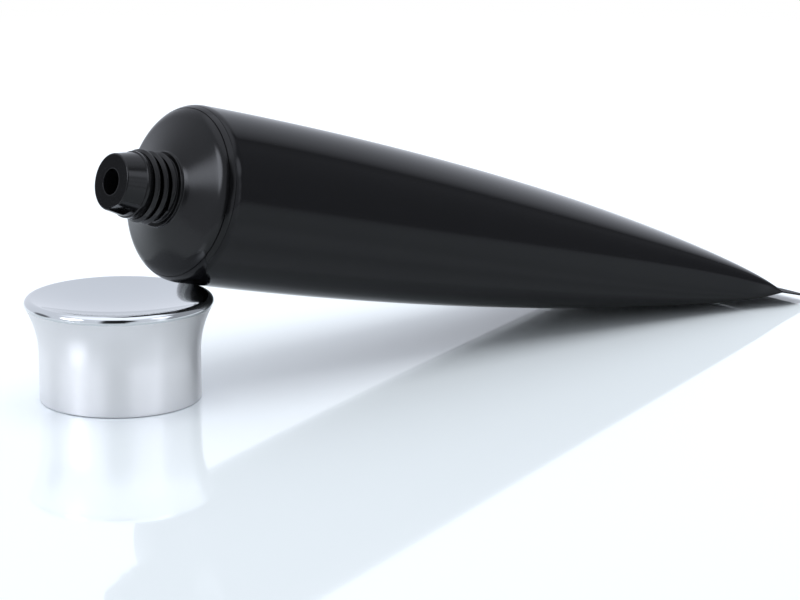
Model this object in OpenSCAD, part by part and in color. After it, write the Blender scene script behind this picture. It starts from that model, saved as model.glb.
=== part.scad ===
// Squeeze tube of aluminium-plastic laminate, lying with its shoulder on the rim of its own cap.
// The tube's own axis is +X from the shoulder to the tail, with the shoulder's front plane at 0.
// The whole stands on Z = 0, with the origin under the middle of its bounding box.

/* [Tube body] */
// Outside diameter of the round part
tube_d = 35; // [30:0.5:40]
// Length from the shoulder's front plane to the seal
body_len = 152; // [120:1:180]
// Thickness of the laminate
laminate_t = 0.35; // [0.25:0.05:0.5]
// How far down the tube the flattening waits
flat_power = 1.75; // [1.5:0.05:2.4]
// How bluntly the thickness runs out towards the tail
flat_round = 0.52; // [0.45:0.01:0.7]
// Angle at which each side closes on the seal
closing_angle = 48; // [30:1:60]
// Squareness of the section near the tail, where 1 is an ellipse and less is fuller
tail_square = 0.4; // [0.3:0.05:1]
// How far the tail bends up from the axis, because it lies on the floor
tail_lift = 0.5; // [0:0.05:2]

/* [Seal] */
// Length of the pressed seal
seal_len = 9; // [6:0.5:14]
// Number of ribs pressed across the seal
rib_count = 5; // [3:1:7]
// Height of a rib over the seal's flat
rib_h = 0.06; // [0.04:0.01:0.1]

/* [Shoulder] */
// Radius of the rounded corner
corner_r = 4.3; // [4:0.1:6]
// Slope of the cone against the front plane, in degrees
cone_angle = 20; // [15:1:28]
// Angle round the corner at which the laminate's edge ends
edge_angle = 68; // [60:1:74]
// Angle round the corner at which the moulded line runs
line_angle = 51; // [40:1:55]
// Depth of the moulded line
line_depth = 0.12; // [0.06:0.02:0.2]
// Wall of the moulded head
head_wall = 1.2; // [0.9:0.1:1.6]
// Length of the skirt that the sleeve is moulded onto
skirt_len = 2; // [1:0.5:4]
// Gap between the laminate and the head
laminate_gap = 0.05; // [0.05:0.01:0.1]

/* [Neck and nozzle] */
// Distance from the shoulder's front plane to the tip's face
nozzle_len = 14.2; // [12:0.1:16]
// Diameter of the ring at the neck's foot
foot_d = 14.8; // [14.6:0.1:16]
// Height of the ring at the neck's foot
foot_h = 0.6; // [0.4:0.1:1]
// Outside diameter of the thread
thread_d = 14.2; // [13.8:0.1:14.5]
// Diameter of the neck under the thread
root_d = 13; // [12.8:0.1:13.4]
// Length of the plain tip in front of the thread
tip_len = 4.1; // [3:0.1:5]
// Diameter of the tip at its face
tip_d = 11.1; // [10:0.1:11.6]
// Diameter of the tip where it meets the neck
tip_foot_d = 12.5; // [12:0.1:12.7]
// Rounding of the tip's edge
tip_round = 0.35; // [0.2:0.05:0.6]
// Diameter of the bore
bore_d = 5.1; // [4:0.1:6]
// Width of the notch in the tip
notch_w = 3; // [2:0.2:4]
// Length of the notch along the tip
notch_len = 3.1; // [2:0.1:3.4]
// Depth of the notch under the tip's face edge
notch_depth = 0.45; // [0.3:0.05:0.7]
// Angle of the notch round the tip, from the near side downwards
notch_angle = 62; // [0:1:359]

/* [Cap] */
// Outside diameter at the mouth
mouth_d = 31.5; // [30:0.1:33]
// Outside diameter of the flared rim
rim_d = 36.9; // [36:0.1:40]
// Height over which the cap flares
flare_h = 10; // [8:0.5:12]
// Rounding of the rim
rim_round = 1.2; // [0.6:0.1:1.4]
// Wall of the shell at the mouth
cap_wall = 1.2; // [0.9:0.1:1.5]
// Thickness of the shell's top
top_wall = 1.2; // [1:0.1:2]
// Depth of the dish in the shell's top
top_dish = 2.3; // [1:0.1:3]
// Gap between the insert's floor and the middle of the shell's top
top_gap = 0.2; // [0.1:0.05:0.5]

/* [Cap insert] */
// Wall of the threaded barrel
barrel_wall = 1.3; // [1:0.1:1.8]
// Gap round the neck's thread
thread_gap = 0.25; // [0.15:0.05:0.4]
// Gap between the closed cap's insert and the head
seat_gap = 0.6; // [0.4:0.1:1]
// Gap between the insert and the shell
insert_gap = 0.05; // [0.03:0.01:0.1]
// Wall of the insert's outer ring
ring_wall = 1; // [0.8:0.1:1.4]
// Thickness of the insert's floor
web_t = 1.2; // [1:0.1:2]
// Number of ribs between the barrel and the ring
spoke_count = 6; // [4:1:8]
// Thickness of a rib
spoke_t = 1; // [0.8:0.1:1.4]
// Distance of a rib behind the foot of the barrel
spoke_back = 1; // [0.5:0.5:4]

/* [Resting place] */
// Distance from the shoulder's front plane back to the cap's rim, along the underside
seat_back = 11.1; // [10:0.1:25]
// Sideways distance of the cap's axis from the tube's axis
cap_side = 2.4; // [0:0.1:6]
// Gap between the tube and the rim that carries it
rest_gap = 0.1; // [0.1:0.05:0.4]

/* [Hidden] */

tube_r = tube_d / 2;
bore_r = bore_d / 2;
rim_r = rim_d / 2;
mouth_r = mouth_d / 2;
seal_t = 2 * laminate_t;
girth = 2 * PI * tube_r;

// Points round one section, and rings along each stretch of the sleeve
section_points = 48;
body_steps = 16;
inside_steps = 12;
corner_steps = 4;
// The rings crowd towards the seal by this power
ring_crowding = 1.5;
softness = 4;
// Half of the slit that is left inside where the walls meet
slit_half = 0.04;
// The inside ends this far in front of the seal
slit_back = 0.8;
// Facets of the turned parts
round_fn = 96;
arc_steps = 8;
// Overlap of a cut with the open air
cut = 1;
bisections = 24;

// Point on the shoulder's corner, as [radius, distance along the axis]. The angle is that of the
// surface normal from the front, and inset moves the point under the surface.
function corner_point(angle, inset = 0) =
    [tube_r - corner_r + (corner_r - inset) * sin(angle),
     corner_r - (corner_r - inset) * cos(angle)];

// The closed cap's mouth meets the corner here, and the insert clears the nozzle by seat_gap
closed_s = corner_point(cone_angle)[1] + laminate_t;
web_under = closed_s + nozzle_len + seat_gap;
// The cap is as high as the nozzle, the insert's floor and the dished top need
cap_h = web_under + web_t + top_gap + top_wall + top_dish;

// The sleeve stays round as far as the head's skirt reaches
round_end = corner_r + skirt_len;

// Share of the way from the round part to the seal
function along(s) = max(0, s - round_end) / (body_len - round_end);

// The smaller of two lengths, with a soft change from one to the other
function soft_min(a, b) = pow(pow(a, -softness) + pow(b, -softness), -1 / softness);

// Half the thickness of the tube, from round at the shoulder to flat at the seal
function half_thickness(s) =
    s >= body_len ? seal_t / 2
    : seal_t / 2 + soft_min(
        (tube_r - seal_t / 2) * pow(1 - pow(along(s), flat_power), flat_round),
        (body_len - s) * tan(closing_angle));

// How far the middle of the section lies above the axis
function lift(s) = tail_lift * pow(min(along(s), 1), 4);

// Exponent that shapes the section: 1 is an ellipse
function squareness(s) = 1 - (1 - tail_square) * pow(min(along(s), 1), 2);

// One section in its own plane, as [sideways, up]. In a fuller section the points crowd to the edges.
function section(half_w, half_t, power) =
    [for (i = [0 : section_points - 1])
        let (even = 360 * i / section_points)
        let (a = even - (1 - power) * sin(2 * even) * 90 / PI)
        [half_w * cos(a), half_t * sign(sin(a)) * pow(abs(sin(a)), power)]];

function sum(values, i = 0) = i == len(values) ? 0 : values[i] + sum(values, i + 1);
function perimeter(p) =
    sum([for (i = [0 : len(p) - 1]) norm(p[(i + 1) % len(p)] - p[i])]);

// The laminate doesn't stretch, so each section is as wide as its girth allows
function half_width(half_t, power, low = 0, high = 0, n = bisections) =
    let (low = low == 0 ? tube_r / 2 : low, high = high == 0 ? girth / 3 : high)
    let (middle = (low + high) / 2)
    n == 0 ? middle
    : perimeter(section(middle, half_t, power)) > girth
        ? half_width(half_t, power, low, middle, n - 1)
        : half_width(half_t, power, middle, high, n - 1);

// Ring of points round the tube at distance s. The width is worked out for the outside.
function body_ring(s, inset = 0, extra = 0) =
    let (half_t = half_thickness(s), power = squareness(s))
    let (half_w = half_width(half_t, power))
    [for (q = section(half_w - inset, max(half_t - inset, slit_half) + extra, power))
        [s, q[0], q[1] + lift(s)]];

// Ring of points round the corner
function corner_ring(angle, inset = 0) =
    let (p = corner_point(angle, inset))
    [for (q = section(p[0], p[0], 1)) [p[1], q[0], q[1]]];

function ring_place(i, steps, last) =
    round_end + (last - round_end) * (1 - pow(1 - i / steps, ring_crowding));

// The pressed seal: its ribs stand over the flat by rib_h
rib_pitch = seal_len / (2 * rib_count + 1);
function seal_rings() =
    [for (i = [2 * rib_count + 1 : -1 : 0])
        body_ring(body_len + i * rib_pitch, 0, i % 2 == 0 ? 0 : rib_h)];

inside_end = body_len - slit_back;
function outer_rings() = [
    for (r = seal_rings()) r,
    for (i = [body_steps - 1 : -1 : 0]) body_ring(ring_place(i, body_steps, body_len)),
    for (i = [0 : corner_steps]) corner_ring(90 - (90 - edge_angle) * i / corner_steps)
];
function inner_rings() = [
    for (i = [0 : corner_steps])
        corner_ring(edge_angle + (90 - edge_angle) * i / corner_steps, laminate_t),
    for (i = [0 : inside_steps])
        body_ring(ring_place(i, inside_steps, inside_end), laminate_t)
];

// A closed skin through a row of rings, capped at both ends
module skin(rings) {
    n = len(rings[0]);
    last = (len(rings) - 1) * n;
    polyhedron(
        points = [for (r = rings) for (p = r) p],
        faces = [
            [for (i = [n - 1 : -1 : 0]) i],
            for (k = [0 : len(rings) - 2]) for (i = [0 : n - 1])
                [k * n + i, k * n + (i + 1) % n, (k + 1) * n + (i + 1) % n, (k + 1) * n + i],
            [for (i = [0 : n - 1]) last + i]
        ],
        convexity = 6);
}

// The tube rests on the cap's rim and on the floor. Its lower edge line in its own upright plane:
lower_line = concat(
    [for (i = [0 : body_steps])
        let (s = ring_place(i, body_steps, body_len)) [s, lift(s) - half_thickness(s)]],
    [[body_len + seal_len, tail_lift - seal_t / 2 - rib_h]]);

// The rim's rounding where the tube's plane crosses it
seat_x = sqrt(pow(rim_r - rim_round, 2) - pow(cap_side, 2));
seat_z = cap_h - rim_round;
seat_u = lift(seat_back) - half_thickness(seat_back);

function turned(p, tilt) = [p[0] * cos(tilt) + p[1] * sin(tilt), p[1] * cos(tilt) - p[0] * sin(tilt)];

// Where the shoulder's centre comes, as [x, z], with the underside touching the rim at a tilt
function shoulder_place(tilt) =
    [seat_x, seat_z] + (rim_round + rest_gap) * [sin(tilt), cos(tilt)]
    - turned([seat_back, seat_u], tilt);
function lowest(tilt) =
    min([for (p = lower_line) shoulder_place(tilt)[1] + turned(p, tilt)[1]]);

// The tilt at which the lowest point of the tube meets the floor
function rest_tilt(low = 5, high = 35, n = bisections) =
    let (middle = (low + high) / 2)
    n == 0 ? middle
    : lowest(middle) > 0 ? rest_tilt(middle, high, n - 1) : rest_tilt(low, middle, n - 1);

tilt = rest_tilt();
shoulder_xz = shoulder_place(tilt);
tail_x = shoulder_xz[0] + turned([body_len + seal_len, tail_lift + seal_t / 2], tilt)[0];
// The cap's axis lies here, so that the origin is under the middle of the whole
cap_x = -(tail_x - rim_r) / 2;

module lying() {
    translate([cap_x + shoulder_xz[0], 0, shoulder_xz[1]])
        rotate([0, tilt, 0])
            children();
}

module standing_cap() {
    translate([cap_x, cap_side, 0])
        children();
}

// Turns an outline of [radius, distance along the axis] round the tube's axis
module turned_along_tube(outline) {
    rotate([0, 90, 0])
        rotate_extrude($fn = round_fn)
            polygon(outline);
}

function arc(centre, r, from, to) =
    [for (i = [0 : arc_steps])
        let (a = from + (to - from) * i / arc_steps) centre + r * [cos(a), sin(a)]];

// Height of the cone over the front plane, at a radius inside the corner
cone_edge = corner_point(cone_angle);
function cone_s(r) = cone_edge[1] - (cone_edge[0] - r) * tan(cone_angle);

head_inset = laminate_t + laminate_gap;
// The angle that the gap takes up in front of the laminate's edge
edge_gap_angle = laminate_gap / corner_r * 180 / PI;
skirt_r = tube_r - head_inset;
foot_s = cone_s(foot_d / 2);
neck_top = -nozzle_len + tip_len;

// The corner from the cone to the laminate's edge, with the moulded line cut into it
function shoulder_arc(from, to) =
    [for (i = [0 : arc_steps]) corner_point(from + (to - from) * i / arc_steps)];
line_width_angle = 2;
function head_corner() = concat(
    shoulder_arc(cone_angle, line_angle - line_width_angle),
    [corner_point(line_angle, line_depth)],
    shoulder_arc(line_angle + line_width_angle, edge_angle - edge_gap_angle),
    [for (i = [0 : arc_steps])
        corner_point(edge_angle - edge_gap_angle
            + (90 - edge_angle + edge_gap_angle) * i / arc_steps, head_inset)]);

// The inner side of the cone, one wall behind the outer side
inner_r = skirt_r - head_wall;
function inside_s(r) = cone_s(r) + head_wall / cos(cone_angle);
bore_end = inside_s(bore_r);

module tube_sleeve() {
    color([0.12, 0.12, 0.13])
        lying()
            skin(concat(outer_rings(), inner_rings()));
}

module tube_head() {
    color([0.16, 0.16, 0.17])
        lying()
            difference() {
                turned_along_tube(concat(
                    [[bore_r, bore_end], [bore_r, -nozzle_len]],
                    arc([tip_d / 2 - tip_round, -nozzle_len + tip_round], tip_round, -90, 0),
                    [[tip_foot_d / 2, neck_top],
                     [root_d / 2, neck_top],
                     [root_d / 2, foot_s - foot_h],
                     [foot_d / 2, foot_s - foot_h]],
                    head_corner(),
                    [[skirt_r, round_end],
                     [inner_r, round_end],
                     [inner_r, inside_s(inner_r)]]));
                rotate([notch_angle, 0, 0])
                    translate([-nozzle_len - cut, -tip_d / 2 - cut, -notch_w / 2])
                        cube([notch_len + cut, notch_depth + cut, notch_w]);
            }
}

// The flare is an arc that leaves the straight skirt upright
flare_out = rim_r - mouth_r;
flare_top = cap_h - rim_round;
flare_r = (pow(flare_h, 2) + pow(flare_out, 2)) / (2 * flare_out);
flare_turn = asin(flare_h / flare_r);
mouth_round = cap_wall / 4;
shell_r = mouth_r - cap_wall;

// The top is a dish that the rim's rounding runs into: part of a sphere centred on the cap's axis
dish_edge = rim_r - rim_round;
dish_r = (pow(dish_edge, 2) + pow(top_dish, 2)) / (2 * top_dish) - rim_round;
dish_angle = asin(dish_edge / (dish_r + rim_round));
dish_under_r = dish_r + top_wall;

// Points from the axis out to an angle, on a sphere with the dish's centre. The first step is flat.
function dish_arc(r, to) =
    let (points = [for (i = [1 : arc_steps])
        let (a = to * i / arc_steps) [r * sin(a), cap_h - top_dish + dish_r - r * cos(a)]])
    concat([[0, points[0][1]]], points);
function reversed(list) = [for (i = [len(list) - 1 : -1 : 0]) list[i]];

module cap_shell() {
    color([0.78, 0.78, 0.8])
        standing_cap()
            rotate_extrude($fn = round_fn)
                polygon(concat(
                    dish_arc(dish_under_r, asin(shell_r / dish_under_r)),
                    [[shell_r, 0]],
                    arc([mouth_r - mouth_round, mouth_round], mouth_round, -90, 0),
                    [for (i = [0 : 2 * arc_steps - 1])
                        let (a = flare_turn * i / (2 * arc_steps))
                        [mouth_r + flare_r * (1 - cos(a)), flare_top - flare_h + flare_r * sin(a)]],
                    arc([dish_edge, flare_top], rim_round, 0, 90),
                    reversed(dish_arc(dish_r, dish_angle))));
}

barrel_r = thread_d / 2 + thread_gap;
barrel_out = barrel_r + barrel_wall;
barrel_foot = closed_s - cone_s(barrel_r) + seat_gap;
insert_out = shell_r - insert_gap;

// A rib runs from the middle of the barrel's wall to the middle of the ring's, and into the floor
spoke_from = barrel_out - barrel_wall / 2;
spoke_to = insert_out - ring_wall / 2;
spoke_foot = barrel_foot + spoke_back;
module insert_spoke(angle) {
    rotate([0, 0, angle])
        translate([spoke_from, -spoke_t / 2, spoke_foot])
            cube([spoke_to - spoke_from, spoke_t, web_under + web_t / 2 - spoke_foot]);
}

module cap_insert() {
    color([0.93, 0.93, 0.92])
        standing_cap()
            union() {
                rotate_extrude($fn = round_fn)
                    polygon([
                        [0, web_under],
                        [barrel_r, web_under],
                        [barrel_r, barrel_foot],
                        [barrel_out, barrel_foot],
                        [barrel_out, web_under],
                        [insert_out - ring_wall, web_under],
                        [insert_out - ring_wall, barrel_foot],
                        [insert_out, barrel_foot],
                        [insert_out, web_under + web_t],
                        [0, web_under + web_t]]);
                for (i = [0 : spoke_count - 1])
                    insert_spoke(360 * i / spoke_count);
            }
}

tube_sleeve();
tube_head();
cap_shell();
cap_insert();
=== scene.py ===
"""Looks for an aluminium-plastic squeeze tube that lies on the rim of its own screw cap."""

import math

import bpy
import numpy as np
from bpy.props import FloatProperty, FloatVectorProperty, IntProperty, PointerProperty
from mathutils import Euler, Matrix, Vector


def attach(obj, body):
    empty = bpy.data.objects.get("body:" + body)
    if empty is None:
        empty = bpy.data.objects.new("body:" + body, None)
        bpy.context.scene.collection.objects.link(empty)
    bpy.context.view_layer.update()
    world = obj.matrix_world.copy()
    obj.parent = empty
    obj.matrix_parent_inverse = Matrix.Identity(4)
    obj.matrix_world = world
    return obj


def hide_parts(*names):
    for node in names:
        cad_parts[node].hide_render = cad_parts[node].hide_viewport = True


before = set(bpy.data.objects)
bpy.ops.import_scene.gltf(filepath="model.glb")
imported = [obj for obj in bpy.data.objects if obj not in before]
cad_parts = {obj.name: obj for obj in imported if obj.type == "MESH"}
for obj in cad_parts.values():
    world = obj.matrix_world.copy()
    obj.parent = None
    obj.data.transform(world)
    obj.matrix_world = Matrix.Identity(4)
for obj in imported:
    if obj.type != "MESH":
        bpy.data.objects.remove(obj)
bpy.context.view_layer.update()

bl_info = {
    "name": "Squeeze tube and cap",
    "version": (1, 0, 0),
    "blender": (4, 5, 0),
    "location": "3D View > Sidebar > Tube",
    "description": "Models a laminate squeeze tube with its taken-off screw cap, and its studio",
    "category": "Object",
}

MM = 0.001
MICRON = 0.000001
# Points closer than this are one point
WELD = 1 * MICRON


def length(name, description, default_mm):
    return FloatProperty(
        name=name,
        description=description,
        default=default_mm * MM,
        subtype="DISTANCE",
        unit="LENGTH",
        precision=5,
    )


def turn(name, description, default_degrees):
    return FloatProperty(
        name=name,
        description=description,
        default=math.radians(default_degrees),
        subtype="ANGLE",
        unit="ROTATION",
    )


def share(name, description, default):
    return FloatProperty(name=name, description=description, default=default, subtype="FACTOR")


def paint(name, description, default):
    return FloatVectorProperty(
        name=name, description=description, default=default, subtype="COLOR", size=3, min=0, max=1
    )


class SleeveSizes(bpy.types.PropertyGroup):
    """Sizes of the laminate sleeve and where it lies"""

    diameter: length("Diameter", "Outside diameter of the round end", 35)
    body: length("Body", "Length from the shoulder's front plane to the seal", 152)
    wall: length("Wall", "Thickness of the laminate", 0.35)
    corner: length("Corner", "Radius of the shoulder's rounded corner", 4.3)
    round_part: length("Round part", "Length that stays round over the head's skirt", 6.3)
    edge_angle: turn("Edge angle", "Angle round the corner at which the laminate ends", 68)
    seal: length("Seal", "Length of the pressed seal", 9)
    ribs: IntProperty(name="Ribs", description="Ribs pressed across the seal", default=5)
    rib_height: length("Rib height", "Height of a rib over the seal", 0.06)
    flat_power: FloatProperty(name="Flattening", description="How late it goes flat", default=1.75)
    flat_round: FloatProperty(name="Bluntness", description="How bluntly it goes flat", default=0.52)
    closing: turn("Closing angle", "Angle at which each side closes on the seal", 48)
    tail_square: share("Tail squareness", "1 is an ellipse, and less is fuller", 0.4)
    tail_lift: length("Tail lift", "How far the tail bends up", 0.5)
    seam_angle: turn("Seam angle", "Place of the side seam, from the far side downwards", 38)
    seam_width: length("Seam width", "Width of the overlap at the side seam", 1.6)
    seam_height: length("Seam height", "Step at the side seam", 0.05)
    tilt: turn("Tilt", "How far the tube's axis falls towards its tail", 14.1079)
    shoulder: FloatVectorProperty(
        name="Shoulder",
        description="Middle of the shoulder's front plane",
        default=(-0.0635037, 0.0, 0.0400253),
        subtype="XYZ",
        unit="LENGTH",
    )


class HeadSizes(bpy.types.PropertyGroup):
    """Sizes of the moulded head"""

    cone: turn("Cone", "Slope of the cone against the front plane", 20)
    line_angle: turn("Line", "Angle round the corner at which the moulded line runs", 51)
    line_depth: length("Line depth", "Depth of the moulded line", 0.12)
    wall: length("Wall", "Wall of the moulding", 1.2)
    skirt: length("Skirt", "Length of the skirt under the sleeve", 2)
    gap: length("Gap", "Gap between the sleeve and the skirt", 0.05)
    nozzle: length("Nozzle", "From the shoulder's front plane to the tip's face", 14.2)
    foot: length("Foot", "Diameter of the ring at the neck's foot", 14.8)
    foot_height: length("Foot height", "Height of the ring at the neck's foot", 0.6)
    crest: length("Crest", "Outside diameter of the thread", 14.2)
    root: length("Root", "Diameter of the neck under the thread", 13)
    pitch: length("Pitch", "Distance between two turns of the thread", 2)
    turns: FloatProperty(name="Turns", description="Turns of the thread", default=2.9)
    tip_length: length("Tip length", "Length of the plain tip", 4.1)
    tip: length("Tip", "Diameter of the tip at its face", 11.1)
    tip_foot: length("Tip foot", "Diameter of the tip where it meets the neck", 12.5)
    tip_round: length("Tip rounding", "Rounding of the tip's edge", 0.35)
    bore: length("Bore", "Diameter of the bore", 5.1)
    notch_width: length("Notch width", "Width of the notch in the tip", 3)
    notch_length: length("Notch length", "Length of the notch along the tip", 3.1)
    notch_depth: length("Notch depth", "Depth of the notch", 0.45)
    notch_angle: turn("Notch angle", "Place of the notch, from the near side downwards", 62)


class CapSizes(bpy.types.PropertyGroup):
    """Sizes of the cap's shell"""

    height: length("Height", "Height of the cap", 20.3093)
    mouth: length("Mouth", "Outside diameter at the mouth", 31.5)
    rim: length("Rim", "Outside diameter of the flared rim", 36.9)
    flare: length("Flare", "Height over which the cap flares", 10)
    rim_round: length("Rim rounding", "Rounding of the rim", 1.2)
    wall: length("Wall", "Wall of the shell at the mouth", 1.2)
    top: length("Top", "Thickness of the shell's top", 1.2)
    dish: length("Dish", "Depth of the dish in the top", 2.3)
    axis: FloatVectorProperty(
        name="Axis",
        description="Foot of the cap's axis on the floor",
        default=(-0.0743975, 0.0024, 0.0),
        subtype="XYZ",
        unit="LENGTH",
    )


class Finishes(bpy.types.PropertyGroup):
    """Colours and glosses of the surfaces"""

    laminate: paint("Laminate", "Colour of the glossy laminate", (0.004, 0.004, 0.0048))
    laminate_gloss: share("Laminate roughness", "Roughness of the laminate", 0.09)
    seal_gloss: share("Seal roughness", "Roughness of the pressed seal", 0.5)
    head: paint("Head", "Colour of the moulded head", (0.005, 0.005, 0.0055))
    head_gloss: share("Head roughness", "Roughness of the moulded head", 0.09)
    plating: paint("Plating", "Colour of the polished plating", (0.62, 0.64, 0.65))
    # The same metal as the polished plating, but lighter: painted light for the overhead light that the
    # satin catches
    satin_plating_painted_light: paint("Satin plating", "Colour of the satin plating", (0.74, 0.73, 0.735))
    polish: share("Polish", "Roughness of the cap's polished top and rim", 0.05)
    satin: share("Satin", "Roughness of the cap's satin skirt", 0.27)
    liner: paint("Liner", "Colour of the white insert", (0.82, 0.82, 0.8))
    liner_gloss: share("Liner roughness", "Roughness of the white insert", 0.36)
    air: paint("Air", "Tint of what mirrors see", (0.86, 0.9, 1.0))
    soft: paint("Soft light", "Colour of the soft light", (0.66, 0.675, 0.695))
    floor: paint("Floor", "Colour of the studio floor", (0.87, 0.935, 0.985))


# Shader maths


class Number:
    """A socket that carries a number. The usual operators add Math nodes."""

    def __init__(self, graph, socket):
        self.graph, self.socket = graph, socket

    def math(self, operation, *others):
        node = self.graph.node("ShaderNodeMath", {"operation": operation})
        for place, item in zip(node.inputs, (self, *others)):
            self.graph.feed(place, item)
        return Number(self.graph, node.outputs[0])

    def __add__(self, other):
        return self.math("ADD", other)

    __radd__ = __add__

    def __mul__(self, other):
        return self.math("MULTIPLY", other)

    __rmul__ = __mul__

    def __sub__(self, other):
        return self.math("SUBTRACT", other)

    def __rsub__(self, other):
        return self.math("MULTIPLY", -1).math("ADD", other)

    def smooth(self, low, high):
        """0 below low, 1 above high, and a smooth step between them."""
        node = self.graph.node(
            "ShaderNodeMapRange",
            {"interpolation_type": "SMOOTHSTEP"},
            {"Value": self, "From Min": low, "From Max": high},
        )
        return Number(self.graph, node.outputs["Result"])


class Graph:
    """A node tree that is put together in code."""

    def __init__(self, tree):
        self.tree = tree

    def feed(self, place, item):
        if isinstance(item, Number):
            item = item.socket
        if isinstance(item, bpy.types.NodeSocket):
            self.tree.links.new(item, place)
        else:
            place.default_value = item

    def node(self, kind, settings=None, sockets=None):
        node = self.tree.nodes.new(kind)
        for setting, value in (settings or {}).items():
            setattr(node, setting, value)
        for socket, item in (sockets or {}).items():
            self.feed(node.inputs[socket], item)
        return node

    def axis(self, vector, letter):
        node = self.node("ShaderNodeSeparateXYZ", {}, {0: vector})
        return Number(self, node.outputs[letter])

    def blend(self, factor, first, second):
        # A Mix node's sockets share their names between its kinds, so its colours go by number
        node = self.node("ShaderNodeMix", {"data_type": "RGBA"}, {"Factor": factor, 6: first, 7: second})
        return node.outputs[2]


class Finish(Graph):
    """A material. Fixed values go on the surface's own sockets."""

    def __init__(self, name, **fixed):
        self.material = bpy.data.materials.new(name)
        self.material.use_nodes = True
        super().__init__(self.material.node_tree)
        self.surface = self.tree.nodes["Principled BSDF"]
        for socket, value in fixed.items():
            self.surface.inputs[socket.replace("_", " ")].default_value = value

    def set(self, socket, item):
        self.feed(self.surface.inputs[socket], item)

    def mapped(self, vector, scale=(1, 1, 1), turned=(0, 0, 0), moved=(0, 0, 0)):
        values = {"Vector": vector, "Location": moved, "Rotation": turned, "Scale": scale}
        return self.node("ShaderNodeMapping", {"vector_type": "POINT"}, values).outputs["Vector"]

    def place(self, **change):
        """Object coordinates, scaled, turned and moved for one pattern."""
        return self.mapped(self.node("ShaderNodeTexCoord").outputs["Object"], **change)

    def along_tube(self, sleeve, scale=(1, 1, 1)):
        """Coordinates in the tube's own axes, from the shoulder's front plane to the tail."""
        foot = Vector(sleeve.shoulder)
        foot.rotate(Euler((0, -sleeve.tilt, 0)))
        moved = [-part * size for part, size in zip(foot, scale)]
        return self.mapped(self.place(turned=(0, -sleeve.tilt, 0)), scale=scale, moved=moved)

    def distance(self, vector):
        node = self.node("ShaderNodeVectorMath", {"operation": "LENGTH"}, {0: vector})
        return Number(self, node.outputs["Value"])

    def noise(self, vector, scale, detail=2.0, roughness=0.5):
        """Soft spots, about scale of them to the metre."""
        values = {"Vector": vector, "Scale": scale, "Detail": detail, "Roughness": roughness}
        node = self.node("ShaderNodeTexNoise", {}, values)
        return Number(self, node.outputs["Fac"])

    def shades(self, factor, colour, darkest, lightest):
        """A colour that varies a little, between two factors of it."""
        return self.blend(factor, scaled(colour, darkest), scaled(colour, lightest))

    def relief(self, height, depth, strength=1.0):
        """Fine relief, depth metres deep where height goes from 0 to 1."""
        values = {"Height": height, "Distance": depth, "Strength": strength}
        node = self.node("ShaderNodeBump", {}, values)
        self.set("Normal", node.outputs["Normal"])


WHITE, BLACK = (1, 1, 1, 1), (0, 0, 0, 1)
# From and to which distance the floor runs into what is beyond it, for the camera and for mirrors
CAMERA_FADE, MIRROR_FADE = (0.2, 0.6), (0.06, 0.6)


def rgba(colour):
    return (*colour, 1.0)


def scaled(colour, factor):
    return rgba([channel * factor for channel in colour])


def laminate_finish(looks, sleeve):
    """Glossy film over foil: a faint orange peel, and fine rubbed hairlines along the tube."""
    finish = Finish("glossy_laminate", IOR=1.3)
    along = finish.along_tube(sleeve)
    peel = finish.noise(along, 420, 2)
    waves = finish.noise(finish.along_tube(sleeve, (0.25, 1, 1)), 90, 1)
    hairlines = finish.noise(finish.along_tube(sleeve, (0.04, 1, 1)), 5200, 3)
    cloud = finish.noise(along, 60, 3)
    finish.set("Base Color", finish.shades(cloud, looks.laminate, 0.85, 1.2))
    pressed = finish.axis(along, "X").smooth(sleeve.body - MM, sleeve.body)
    gloss = looks.laminate_gloss + 0.03 * cloud + 0.02 * hairlines
    finish.set("Roughness", gloss + pressed * (looks.seal_gloss - looks.laminate_gloss))
    finish.relief(peel * 0.2 + waves, 7 * MICRON)
    return finish.material


def head_finish(looks):
    """Satin moulded plastic with the fine grain of a spark-eroded mould."""
    finish = Finish("satin_moulding", IOR=1.46, Specular_IOR_Level=0.3)
    here = finish.place()
    grain = finish.noise(here, 5200, 3, 0.6)
    flow = finish.noise(here, 150, 2)
    finish.set("Base Color", finish.shades(flow, looks.head, 0.85, 1.15))
    finish.set("Roughness", looks.head_gloss + 0.05 * flow + 0.04 * grain)
    finish.relief(grain, 4 * MICRON)
    return finish.material


def plating_finish(looks, cap):
    """Plated plastic: the top and rim are polished, and the skirt has fine satin lines round it. The
    skirt's colour is a lighter copy of the plating's colour, which is painted light for the overhead
    light that its satin catches.
    """
    finish = Finish("plated_shell", Metallic=1.0)
    here = finish.place()
    height = finish.axis(here, "Z")
    # The rim is polished from a little under its rounding
    edge = cap.height - 1.35 * cap.rim_round
    rim = height.smooth(edge - 0.1 * MM, edge + 0.1 * MM)
    # The dish lies lower than that, so it is told by its distance from the cap's axis
    radius = finish.distance(finish.place(scale=(1, 1, 0), moved=(-cap.axis[0], -cap.axis[1], 0)))
    dish_edge = cap.rim / 2 - cap.rim_round
    inside_top = cap.height - cap.dish - cap.top / 2
    dish = height.smooth(inside_top, inside_top + 0.2 * MM)
    dish = dish * (1 - radius.smooth(dish_edge - 0.3 * MM, dish_edge))
    polished = rim.math("MAXIMUM", dish)
    lines = finish.noise(finish.place(scale=(0.03, 0.03, 1)), 9000, 3, 0.7)
    cloud = finish.noise(here, 90, 2)
    # The skirt gets the lighter satin colour, which is painted light standing in for the overhead light
    # its satin catches
    satin_painted_light_shades = finish.shades(cloud, looks.satin_plating_painted_light, 0.98, 1.02)
    polished_shades = finish.shades(cloud, looks.plating, 0.98, 1.02)
    finish.set("Base Color", finish.blend(polished, satin_painted_light_shades, polished_shades))
    satin = looks.satin + 0.03 * lines + 0.03 * cloud
    finish.set("Roughness", satin * (1 - polished) + polished * (looks.polish + 0.015 * cloud))
    finish.relief(lines, 2 * MICRON, 1 - polished)
    return finish.material


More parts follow.
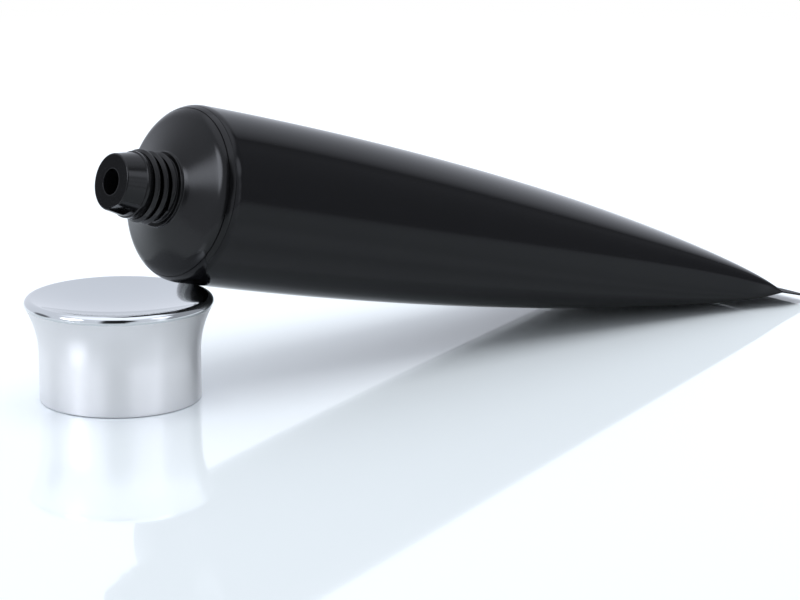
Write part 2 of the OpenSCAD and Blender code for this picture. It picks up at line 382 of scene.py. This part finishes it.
def liner_finish(looks):
    """Plain white moulded plastic, a little uneven."""
    finish = Finish("white_liner", IOR=1.49)
    here = finish.place()
    flow = finish.noise(here, 200, 3)
    finish.set("Base Color", finish.shades(flow, looks.liner, 0.95, 1.04))
    finish.set("Roughness", looks.liner_gloss + 0.1 * flow)
    finish.relief(finish.noise(here, 3500, 2), 10 * MICRON)
    return finish.material


def floor_finish(looks):
    """White glossy floor. Far off, the camera sees it run into the white backdrop, and mirrors see it
    run into the studio's walls."""
    finish = Finish("floor")

    def made(kind, **sockets):
        return finish.node(kind, {}, sockets).outputs[0]

    def mix(factor, first, second):
        return finish.node("ShaderNodeMixShader", {}, {0: factor, 1: first, 2: second}).outputs[0]

    matt = made("ShaderNodeBsdfDiffuse", Color=rgba(looks.floor))
    gloss = made("ShaderNodeBsdfGlossy", Color=WHITE, Roughness=0.04)
    none = made("ShaderNodeBsdfDiffuse", Color=BLACK)
    sheen = mix(made("ShaderNodeFresnel", IOR=1.7), none, gloss)
    near = finish.node("ShaderNodeAddShader", {}, {0: matt, 1: sheen}).outputs[0]
    path = finish.node("ShaderNodeLightPath").outputs
    glossy = Number(finish, path["Is Glossy Ray"])
    straight = Number(finish, path["Is Camera Ray"]).math("MAXIMUM", path["Is Transmission Ray"])
    away = finish.distance(finish.place())
    far = away.smooth(*CAMERA_FADE) * straight + away.smooth(*MIRROR_FADE) * glossy
    white = made("ShaderNodeEmission", Color=WHITE, Strength=1.0)
    beyond = mix(glossy, white, made("ShaderNodeBsdfTransparent"))
    finish.feed(finish.tree.nodes["Material Output"].inputs["Surface"], mix(far, near, beyond))
    return finish.material


# Modelling


def deselect():
    if bpy.context.object and bpy.context.object.mode != "OBJECT":
        bpy.ops.object.mode_set(mode="OBJECT")
    bpy.ops.object.select_all(action="DESELECT")


def select_only(piece):
    deselect()
    bpy.context.view_layer.objects.active = piece
    piece.select_set(True)


def arc(centre, radius, start, end, steps=8):
    """Points of an arc as (radius, height), with angles in degrees."""
    angles = np.radians(np.linspace(start, end, steps + 1))
    return [(centre[0] + radius * math.cos(a), centre[1] + radius * math.sin(a)) for a in angles]


def weld_and_close():
    bpy.ops.mesh.select_all(action="SELECT")
    bpy.ops.mesh.remove_doubles(threshold=WELD)
    bpy.ops.mesh.normals_make_consistent(inside=False)


def turned_piece(name, outline, steps):
    """An outline of (radius, height) is drawn by extruding a point, and spun round Z."""
    deselect()
    bpy.ops.mesh.primitive_circle_add(vertices=3, radius=MM)
    piece = bpy.context.object
    piece.name = piece.data.name = name
    bpy.ops.object.mode_set(mode="EDIT")
    bpy.ops.mesh.select_all(action="SELECT")
    bpy.ops.mesh.merge(type="CENTER")
    bpy.ops.transform.translate(value=(outline[0][0], 0, outline[0][1]))
    for (r0, h0), (r1, h1) in zip(outline, outline[1:]):
        bpy.ops.mesh.extrude_region_move(TRANSFORM_OT_translate={"value": (r1 - r0, 0, h1 - h0)})
    bpy.ops.mesh.select_all(action="SELECT")
    bpy.ops.mesh.remove_doubles(threshold=WELD)
    bpy.ops.mesh.spin(steps=steps, angle=math.tau, center=(0, 0, 0), axis=(0, 0, 1))
    weld_and_close()
    bpy.ops.object.mode_set(mode="OBJECT")
    return piece


def settle(piece, location, turned=(0, 0, 0)):
    """Moves and turns a piece to its place, and applies that."""
    select_only(piece)
    piece.rotation_euler = turned
    piece.location = location
    bpy.ops.object.transform_apply(location=True, rotation=True, scale=True)


def lay_along_tube(piece, sleeve, extra_turn=0.0):
    """Takes a piece from the tube's own axes to its place."""
    settle(piece, sleeve.shoulder, (0, sleeve.tilt + extra_turn, 0))


def smooth_piece(piece, angle=30, keep_flats=True):
    """Smooth shading with crisp edges, which can be weighted so that flats stay flat."""
    select_only(piece)
    bpy.ops.object.shade_smooth_by_angle(angle=math.radians(angle))
    if keep_flats:
        modifier = piece.modifiers.new("flats", "WEIGHTED_NORMAL")
        modifier.keep_sharp = True
        modifier.weight = 60
        bpy.ops.object.modifier_apply(modifier=modifier.name)


def finish_piece(piece, material, node):
    """Gives a piece its material, and lets it ride and stand for its solid."""
    if piece.matrix_world.to_translation().length > WELD:
        raise RuntimeError(f"{piece.name} isn't at the origin")
    if not piece.data.polygons:
        raise RuntimeError(f"{piece.name} has no faces")
    piece.data.materials.clear()
    piece.data.materials.append(material)
    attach(piece, "root")
    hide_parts(node)


class SleeveShape:
    """The sleeve's form. Its girth stays the same while its section goes from round to flat."""

    def __init__(self, sizes):
        self.z = sizes
        self.radius = sizes.diameter / 2
        self.seal_half = sizes.wall
        step = math.radians(0.35)
        seam = math.tau - sizes.seam_angle
        lap = sizes.seam_width / self.radius
        even = np.linspace(0, math.tau, 193)[:-1]
        crisp = [seam - step, seam, seam + lap / 2, seam + lap]
        away = [e for e in even if all(abs(e - c) > step / 2 for c in crisp)]
        self.round = np.array(sorted([*away, *crisp]))
        rise = [(seam - step, 0), (seam, 1), (seam + lap / 2, 0.6), (seam + lap, 0)]
        self.lap = np.interp(self.round, [a for a, _ in rise], [b for _, b in rise], left=0, right=0)

    def along(self, s):
        return np.clip((s - self.z.round_part) / (self.z.body - self.z.round_part), 0, 1)

    def half_thickness(self, s):
        if s >= self.z.body:
            return self.seal_half
        share_left = 1 - self.along(s) ** self.z.flat_power
        blunt = (self.radius - self.seal_half) * share_left**self.z.flat_round
        wedge = (self.z.body - s) * math.tan(self.z.closing)
        return self.seal_half + (blunt**-4 + wedge**-4) ** -0.25

    def lift(self, s):
        return self.z.tail_lift * self.along(s) ** 4

    def power(self, s):
        return 1 - (1 - self.z.tail_square) * self.along(s) ** 2

    def section(self, half_w, half_t, power):
        """Points of one section, as (sideways, up)."""
        a = self.round - (1 - power) * np.sin(2 * self.round) / 2
        return half_w * np.cos(a), half_t * np.sign(np.sin(a)) * np.abs(np.sin(a)) ** power

    def half_width(self, half_t, power):
        low, high = self.radius / 2, self.radius * 2.2
        for _ in range(30):
            middle = (low + high) / 2
            y, z = self.section(middle, half_t, power)
            girth = np.hypot(y - np.roll(y, 1), z - np.roll(z, 1)).sum()
            if girth > math.tau * self.radius:
                high = middle
            else:
                low = middle
        return low

    def ring(self, s, inset=0.0, extra=0.0, flat=False):
        """A ring round the body. A flat one has no thickness, and closes an end."""
        half_t, power = self.half_thickness(s), self.power(s)
        half_w = self.half_width(half_t, power)
        inner_t = 0.0 if flat else max(half_t - inset, 0.04 * MM) + extra
        y, z = self.section(half_w - inset, inner_t, power)
        if not inset and not flat and s < self.z.body:
            reach = np.hypot(y, z)
            out = 1 + self.lap * self.z.seam_height * self.seam_share(s) / reach
            y, z = y * out, z * out
        return np.stack([np.full_like(y, s), y, z + self.lift(s)], 1)

    def seam_share(self, s):
        """The side seam dies out at the shoulder and at the seal."""
        from_shoulder = np.clip((s - self.z.corner) / (3 * MM), 0, 1)
        to_seal = np.clip((self.z.body - s) / (8 * MM), 0, 1)
        return float(from_shoulder * to_seal)

    def corner_ring(self, angle, inset=0.0):
        corner = self.z.corner
        r = self.radius - corner + (corner - inset) * math.sin(angle)
        s = corner - (corner - inset) * math.cos(angle)
        y, z = self.section(r, r, 1)
        return np.stack([np.full_like(y, s), y, z], 1)

    def places(self, steps, last):
        """Places along the body, closer together towards the seal."""
        share_done = 1 - (1 - np.arange(1, steps + 1) / steps) ** 1.6
        return self.z.round_part + (last - self.z.round_part) * share_done

    def rings(self):
        """All rings, from the seal's end over the outside to the front edge and back inside."""
        z = self.z
        pitch = z.seal / (2 * z.ribs + 1)
        end = z.body + z.seal
        rows = [self.ring(end, flat=True), self.ring(end, extra=-0.08 * MM), self.ring(end - 0.1 * MM)]
        # Seal with its ribs, each rib and each gap in so many steps
        fine = 8
        for k in range(fine * (2 * z.ribs + 1) - 1, 0, -1):
            place = k / fine
            odd = int(place) % 2 == 1
            swell = math.sin(math.pi * (place - int(place))) ** 0.6 if odd else 0
            rows.append(self.ring(z.body + place * pitch, extra=z.rib_height * swell))
        # Body, and the corner to the rounded edge of the laminate
        rows += [self.ring(s) for s in self.places(110, z.body)[::-1]]
        rows += [self.ring(s) for s in np.linspace(z.round_part, z.corner, 5)[:-1]]
        quarter = math.pi / 2
        lip = 0.1 * MM
        lip_turn = lip / z.corner
        for angle in np.linspace(quarter, z.edge_angle + lip_turn, 26):
            rows.append(self.corner_ring(angle))
        for k in range(1, 5):
            t = math.radians(22.5 * k)
            angle = z.edge_angle + lip_turn * (1 - math.sin(t))
            rows.append(self.corner_ring(angle, lip * (1 - math.cos(t))))
        # Back inside, to where the walls meet
        rows.append(self.corner_ring(z.edge_angle, z.wall))
        for angle in np.linspace(z.edge_angle, quarter, 10)[1:]:
            rows.append(self.corner_ring(angle, z.wall))
        rows.append(self.ring(z.round_part, inset=z.wall))
        inside_end = z.body - 0.8 * MM
        rows += [self.ring(s, inset=z.wall) for s in self.places(48, inside_end)]
        rows.append(self.ring(inside_end, inset=z.wall, flat=True))
        return rows


class PACK_OT_sleeve(bpy.types.Operator):
    """Makes the laminate sleeve. Its section changes along its length, so its rings are worked out
    and set on a grid, which no transform could do"""

    bl_idname = "pack.sleeve"
    bl_label = "Laminate sleeve"

    def execute(self, context):
        sizes = context.scene.sleeve_sizes
        shape = SleeveShape(sizes)
        rows = shape.rings()
        around = len(shape.round)
        deselect()
        bpy.ops.mesh.primitive_grid_add(x_subdivisions=around, y_subdivisions=len(rows) - 1, size=1)
        piece = bpy.context.object
        piece.name = piece.data.name = "sleeve"
        if len(piece.data.vertices) != (around + 1) * len(rows):
            raise RuntimeError("the grid doesn't fit the rings")
        points = np.array([np.vstack([row, row[:1]]) for row in rows], np.float32)
        piece.data.vertices.foreach_set("co", points.ravel())
        piece.data.update()
        bpy.ops.object.mode_set(mode="EDIT")
        weld_and_close()
        bpy.ops.object.mode_set(mode="OBJECT")
        lay_along_tube(piece, sizes)
        smooth_piece(piece, 40)
        looks = context.scene.finishes
        finish_piece(piece, laminate_finish(looks, sizes), "tube_sleeve")
        return {"FINISHED"}


def head_outline(sleeve, head):
    """The moulded head's outline from the bore over the tip, thread root and cone to its skirt."""
    radius, corner = sleeve.diameter / 2, sleeve.corner

    def on_corner(angle, inset=0.0):
        return (
            radius - corner + (corner - inset) * math.sin(angle),
            corner - (corner - inset) * math.cos(angle),
        )

    start = on_corner(head.cone)

    def cone_height(r):
        return start[1] - (start[0] - r) * math.tan(head.cone)

    bore, root, foot = head.bore / 2, head.root / 2, head.foot / 2
    top = -head.nozzle
    neck = top + head.tip_length
    foot_low = cone_height(foot)
    foot_high = foot_low - head.foot_height
    inner = radius - sleeve.wall - head.gap
    inside = inner - head.wall
    wall = head.wall / math.cos(head.cone)
    small = 0.12 * MM
    edge = sleeve.edge_angle - head.gap / corner
    # Bore and the tip's face
    points = [(bore, cone_height(bore) + wall), (bore, top + 0.2 * MM)]
    points += arc((bore + small, top + small), small, 180, 270, 4)
    points += [(bore + 0.3 * MM, top), (head.tip / 2 - head.tip_round - 0.1 * MM, top)]
    # Tip
    points += arc((head.tip / 2 - head.tip_round, top + head.tip_round), head.tip_round, -90, -3, 8)
    points += [(head.tip_foot / 2 - 0.02 * MM, neck - 0.16 * MM), (head.tip_foot / 2, neck - 0.04 * MM)]
    # Neck and the ring at its foot
    points += arc((root - small, neck + small), small, -90, 0, 4)
    points += [(root, neck + 0.4 * MM), (root, foot_high - 0.2 * MM)]
    points += arc((root + small, foot_high - small), small, 180, 90, 3)
    points += arc((foot - small, foot_high + small), small, -90, 0, 4)
    points += [(foot, foot_low - 0.1 * MM), (foot + 0.08 * MM, cone_height(foot + 0.08 * MM) - 0.02 * MM)]
    # Cone, and the rounded corner with its moulded line
    for r in np.linspace(foot + 0.25 * MM, start[0], 10):
        points.append((r, cone_height(r)))
    half_line = math.radians(1.6)
    points += [on_corner(a) for a in np.linspace(head.cone, head.line_angle - half_line, 14)[1:]]
    points += [
        on_corner(head.line_angle - half_line / 2, head.line_depth * 0.6),
        on_corner(head.line_angle, head.line_depth),
        on_corner(head.line_angle + half_line / 2, head.line_depth * 0.6),
    ]
    points += [on_corner(a) for a in np.linspace(head.line_angle + half_line, edge, 8)]
    # Under the sleeve's edge, and back inside
    inset = sleeve.wall + head.gap
    points += [on_corner(a, inset) for a in np.linspace(edge, math.pi / 2, 8)]
    low = corner + head.skirt
    points += [(inner, low), (inside, low), (inside, cone_height(inside) + wall)]
    points.append(points[0])
    return points


def thread_piece(head):
    """The thread is one outline that a Screw modifier winds up, and its two ends run out."""
    root, crest = head.root / 2, head.crest / 2
    # Its foot is sunk in the neck, and its crest is flat between two roundings
    sunk = root - 0.15 * MM
    first = -head.nozzle + head.tip_length + 0.85 * MM
    rounding, flat = 0.2 * MM, 0.08 * MM
    side = [(sunk, 0.78 * MM), (root, 0.62 * MM)]
    side += arc((crest - rounding, flat), rounding, 57, 0, 3)
    outline = [(r, -h) for r, h in side] + side[::-1]
    deselect()
    bpy.ops.mesh.primitive_circle_add(vertices=len(outline), radius=MM)
    piece = bpy.context.object
    piece.name = piece.data.name = "thread"
    for vertex, (r, h) in zip(piece.data.vertices, outline):
        vertex.co = (r, 0, h)
    modifier = piece.modifiers.new("winding", "SCREW")
    modifier.angle = math.tau * head.turns
    modifier.screw_offset = head.pitch * head.turns
    modifier.steps = modifier.render_steps = int(96 * head.turns)
    modifier.use_merge_vertices = False
    modifier.use_normal_calculate = False
    bpy.ops.object.modifier_apply(modifier=modifier.name)
    count = len(outline)
    rows = len(piece.data.vertices) // count
    for index, vertex in enumerate(piece.data.vertices):
        place = index // count / (rows - 1) * head.turns
        # It comes up in 0.16 of a turn, and goes down in 0.2
        run = min(1.0, place / 0.16, (head.turns - place) / 0.2)
        run = run * run * (3 - 2 * run)
        r = math.hypot(vertex.co.x, vertex.co.y)
        new = sunk + (r - sunk) * run if r > sunk else r
        vertex.co.x *= new / r
        vertex.co.y *= new / r
        vertex.co.z += first
    bpy.ops.object.mode_set(mode="EDIT")
    bpy.ops.mesh.select_all(action="DESELECT")
    bpy.ops.mesh.select_mode(type="EDGE")
    bpy.ops.mesh.select_non_manifold()
    bpy.ops.mesh.edge_face_add()
    bpy.ops.mesh.select_mode(type="VERT")
    bpy.ops.mesh.select_all(action="SELECT")
    bpy.ops.mesh.normals_make_consistent(inside=False)
    bpy.ops.object.mode_set(mode="OBJECT")
    return piece


def joined(piece, other, operation):
    """A Boolean modifier joins two pieces or cuts one from the other."""
    select_only(piece)
    modifier = piece.modifiers.new("join", "BOOLEAN")
    modifier.operation = operation
    modifier.solver = "EXACT"
    modifier.object = other
    bpy.ops.object.modifier_apply(modifier=modifier.name)
    bpy.data.objects.remove(other)


def notch_block(head):
    """What is cut from the tip for its notch. It stands out of the tip by MM, to cut cleanly."""
    deselect()
    bpy.ops.mesh.primitive_cube_add(size=1)
    block = bpy.context.object
    block.scale = (head.notch_depth + MM, head.notch_width, head.notch_length + MM)
    out = (head.tip - head.notch_depth + MM) / 2
    up = (head.notch_length - MM) / 2 - head.nozzle
    # Round the turned piece's axis the near side is -Y, and the notch lies past it, downwards
    around = head.notch_angle - math.pi / 2
    settle(block, (out * math.cos(around), out * math.sin(around), up), (0, 0, around))
    return block


class PACK_OT_head(bpy.types.Operator):
    """Makes the moulded head: a turned body with its thread wound on and its notch cut"""

    bl_idname = "pack.head"
    bl_label = "Moulded head"

    def execute(self, context):
        sleeve, head = context.scene.sleeve_sizes, context.scene.head_sizes
        piece = turned_piece("head", head_outline(sleeve, head), 192)
        joined(piece, thread_piece(head), "UNION")
        joined(piece, notch_block(head), "DIFFERENCE")
        lay_along_tube(piece, sleeve, math.pi / 2)
        smooth_piece(piece, 35)
        finish_piece(piece, head_finish(context.scene.finishes), "tube_head")
        return {"FINISHED"}


class PACK_OT_cap(bpy.types.Operator):
    """Makes the cap's plated shell: a turned piece that flares out to a rounded, polished rim"""

    bl_idname = "pack.cap"
    bl_label = "Cap shell"

    def execute(self, context):
        cap = context.scene.cap_sizes
        mouth, rim, small = cap.mouth / 2, cap.rim / 2, cap.wall / 4
        inner = mouth - cap.wall
        top = cap.height - cap.rim_round
        flare_radius = (cap.flare**2 + (rim - mouth) ** 2) / (2 * (rim - mouth))
        flare_turn = math.asin(cap.flare / flare_radius)
        # The top is part of a sphere that the rim's rounding runs into
        dish_edge = rim - cap.rim_round
        reach = (dish_edge**2 + cap.dish**2) / (2 * cap.dish)
        dish = reach - cap.rim_round
        turn_in = math.asin(dish_edge / reach)
        centre = (0, cap.height - cap.dish + dish)
        under = dish + cap.top
        under_turn = math.asin((inner - 0.3 * MM) / under)
        points = arc(centre, under, -90, -90 + math.degrees(under_turn), 12)
        points += [(inner, points[-1][1] - 0.25 * MM), (inner, top / 2)]
        points += [(inner, 0.15 * MM), (inner + 0.15 * MM, 0)]
        points += arc((mouth - small, small), small, -90, 0, 6)
        points += [(mouth, h) for h in np.linspace(0.6 * MM, top - cap.flare, 8)]
        for a in np.linspace(0, flare_turn, 40)[1:]:
            out, up = flare_radius * (1 - math.cos(a)), flare_radius * math.sin(a)
            points.append((mouth + out, top - cap.flare + up))
        points += arc((dish_edge, top), cap.rim_round, 0, 90 + math.degrees(turn_in), 20)[1:]
        points += arc(centre, dish, -90 + math.degrees(turn_in), -90, 24)[1:]
        piece = turned_piece("cap_shell_look", points, 192)
        settle(piece, cap.axis)
        smooth_piece(piece, 40, keep_flats=False)
        finish_piece(piece, plating_finish(context.scene.finishes, cap), "cap_shell")
        return {"FINISHED"}


class PACK_OT_insert(bpy.types.Operator):
    """Gives the cap's hidden insert its moulded finish. Its solid is right as it is, so it stays"""

    bl_idname = "pack.insert"
    bl_label = "Cap insert"

    def execute(self, context):
        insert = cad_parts["cap_insert"]
        insert.data.materials.clear()
        insert.data.materials.append(liner_finish(context.scene.finishes))
        return {"FINISHED"}


# Studio


# The studio's walls, which only mirrors see: degrees from the tail's direction towards the far side,
# and how bright it is there. One dark stretch is behind the camera, and one is past the tail.
WALLS = (
    (-180, 1.0), (-150, 1.0), (-142, 0.1), (-118, 0.1), (-110, 0.9), (-72, 1.0), (-60, 0.46),
    (-12, 0.44), (-3, 0.33), (0, 0.2), (3, 0.5), (8, 0.72), (16, 0.93), (27, 1.0), (180, 1.0),
)
# Panels of light and dark cards, which only mirrors see: heading and height over the horizon, radius
# and soft edge in degrees, and how bright they are
PANELS = (
    (0, 90, 34, 8, 1.7),
    (-72, 4, 5, 3, 1.5),
    (-70, 18, 6, 3, 1.5),
    (-64, 38, 10, 5, 2.6),
    (172, 31, 12, 4, 7.5),
    (131, 5, 13, 6, 0.2),
    (-124, 28, 18, 6, 0.02),
)
# Heading of the backdrop, and how much more of the soft light comes from it
BACKDROP, LEAN = 52, 0.6
# Where the camera stands, how far its view is turned from +Y towards +X, tipped down and rolled, and
# its lens
CAMERA_PLACE = (-0.341550, -0.404102, 0.133475)
CAMERA_TURN, CAMERA_DIP, CAMERA_ROLL = (math.radians(a) for a in (39.748, 13.246, 0.254))
CAMERA_LENS = 115.169
# The floor is this far under the object
FLOOR_GAP = 0.05 * MM


def studio_world(context):
    """Soft light for all surfaces, and walls and panels that only mirrors see."""
    world = bpy.data.worlds.new("studio")
    context.scene.world = world
    world.use_nodes = True
    # Sampling the world's light on its own would bring the soft light into what rough mirrors see
    world.cycles.sampling_method = "NONE"
    looks = context.scene.finishes
    sky = Graph(world.node_tree)
    direction = sky.node("ShaderNodeTexCoord").outputs["Generated"]

    def facing(degrees, height=0):
        """1 in a direction and -1 in the one against it"""
        turned, raised = math.radians(degrees), math.radians(height)
        level = math.cos(raised)
        aim = (math.cos(turned) * level, math.sin(turned) * level, math.sin(raised))
        node = sky.node("ShaderNodeVectorMath", {"operation": "DOT_PRODUCT"}, {0: direction, 1: aim})
        return Number(sky, node.outputs["Value"])

    heading = sky.axis(direction, "Y").math("ARCTAN2", sky.axis(direction, "X"))
    ramp = sky.node("ShaderNodeValToRGB", {}, {"Fac": heading.math("DIVIDE", math.tau) + 0.5})
    stops = ramp.color_ramp.elements
    while len(stops) > 1:
        stops.remove(stops[-1])
    for degrees, bright in WALLS:
        place = (degrees + 180) / 360
        stop = stops.new(place) if place > 0 else stops[0]
        stop.position = place
        stop.color = scaled(looks.air, bright)
    mirrored = ramp.outputs["Color"]
    for degrees, height, radius, edge, bright in PANELS:
        outer, inner = math.radians(radius + edge), math.radians(radius - edge)
        inside = facing(degrees, height).smooth(math.cos(outer), math.cos(inner))
        mirrored = sky.blend(inside, mirrored, scaled(looks.air, bright))
    # The camera and glass see plain white, mirrors see the walls and panels, and all else the soft
    # light, of which more comes from the backdrop's side
    path = sky.node("ShaderNodeLightPath").outputs
    lean = 1 + LEAN * facing(BACKDROP)
    soft = sky.node("ShaderNodeVectorMath", {"operation": "SCALE"}, {0: looks.soft, "Scale": lean})
    seen = sky.blend(path["Is Glossy Ray"], soft.outputs["Vector"], mirrored)
    straight = Number(sky, path["Is Camera Ray"]).math("MAXIMUM", path["Is Transmission Ray"])
    background = world.node_tree.nodes["Background"]
    sky.feed(background.inputs["Color"], sky.blend(straight, seen, WHITE))


def softbox(name, place, aim, size, watts):
    """A soft lamp that mirrors don't see, because they have the panels."""
    bpy.ops.object.light_add(type="AREA", location=place)
    lamp = bpy.context.object
    lamp.name = name
    lamp.data.shape = "RECTANGLE"
    lamp.data.size, lamp.data.size_y = size
    lamp.data.energy = watts
    lamp.rotation_euler = (Vector(aim) - Vector(place)).to_track_quat("-Z", "Y").to_euler()
    lamp.visible_glossy = False


def studio_camera(context):
    """The camera that sees the object as it was photographed."""
    data = bpy.data.cameras.new("camera")
    data.lens = CAMERA_LENS
    data.sensor_width = 36
    data.clip_start = 0.01
    camera = bpy.data.objects.new("camera", data)
    context.scene.collection.objects.link(camera)
    level = Vector((math.cos(CAMERA_TURN), -math.sin(CAMERA_TURN), 0))
    ahead = Vector((math.sin(CAMERA_TURN), math.cos(CAMERA_TURN), 0)) * math.cos(CAMERA_DIP)
    ahead.z = -math.sin(CAMERA_DIP)
    upright = level.cross(ahead)
    turned = camera.matrix_world.to_3x3()
    turned.col[0] = math.cos(CAMERA_ROLL) * level + math.sin(CAMERA_ROLL) * upright
    turned.col[1] = math.cos(CAMERA_ROLL) * upright - math.sin(CAMERA_ROLL) * level
    turned.col[2] = -ahead
    camera.matrix_world = turned.to_4x4()
    camera.location = CAMERA_PLACE
    context.scene.camera = camera


class PACK_OT_stage(bpy.types.Operator):
    """Makes the studio: a pale glossy floor, soft light, and the camera"""

    bl_idname = "pack.stage"
    bl_label = "Studio"

    def execute(self, context):
        deselect()
        bpy.ops.mesh.primitive_plane_add(size=6, location=(0, 0, -FLOOR_GAP))
        floor = bpy.context.object
        floor.name = "studio_floor"
        floor.data.materials.append(floor_finish(context.scene.finishes))
        studio_world(context)
        softbox("overhead", place=(0, -0.15, 1.2), aim=(0, 0, 0), size=(1.4, 0.9), watts=5.0)
        studio_camera(context)
        context.scene.view_settings.view_transform = "Standard"
        return {"FINISHED"}


STEPS = (PACK_OT_sleeve, PACK_OT_head, PACK_OT_cap, PACK_OT_insert, PACK_OT_stage)
GROUPS = {
    "sleeve_sizes": SleeveSizes,
    "head_sizes": HeadSizes,
    "cap_sizes": CapSizes,
    "finishes": Finishes,
}


class PACK_PT_tube(bpy.types.Panel):
    """Lists the pieces of the tube and their sizes"""

    bl_idname = "PACK_PT_tube"
    bl_label = "Squeeze tube"
    bl_space_type = "VIEW_3D"
    bl_region_type = "UI"
    bl_category = "Tube"

    def draw(self, context):
        for step in STEPS:
            self.layout.operator(step.bl_idname)
        for group, kind in GROUPS.items():
            box = self.layout.box()
            box.label(text=kind.__doc__)
            for name in kind.__annotations__:
                box.prop(getattr(context.scene, group), name)


def register():
    for kind in (*GROUPS.values(), *STEPS, PACK_PT_tube):
        bpy.utils.register_class(kind)
    for group, kind in GROUPS.items():
        setattr(bpy.types.Scene, group, PointerProperty(type=kind))


def unregister():
    for group in GROUPS:
        delattr(bpy.types.Scene, group)
    for kind in reversed((*GROUPS.values(), *STEPS, PACK_PT_tube)):
        bpy.utils.unregister_class(kind)


def main():
    register()
    bpy.ops.pack.sleeve()
    bpy.ops.pack.head()
    bpy.ops.pack.cap()
    bpy.ops.pack.insert()
    bpy.ops.pack.stage()


if __name__ == "__main__":
    main()
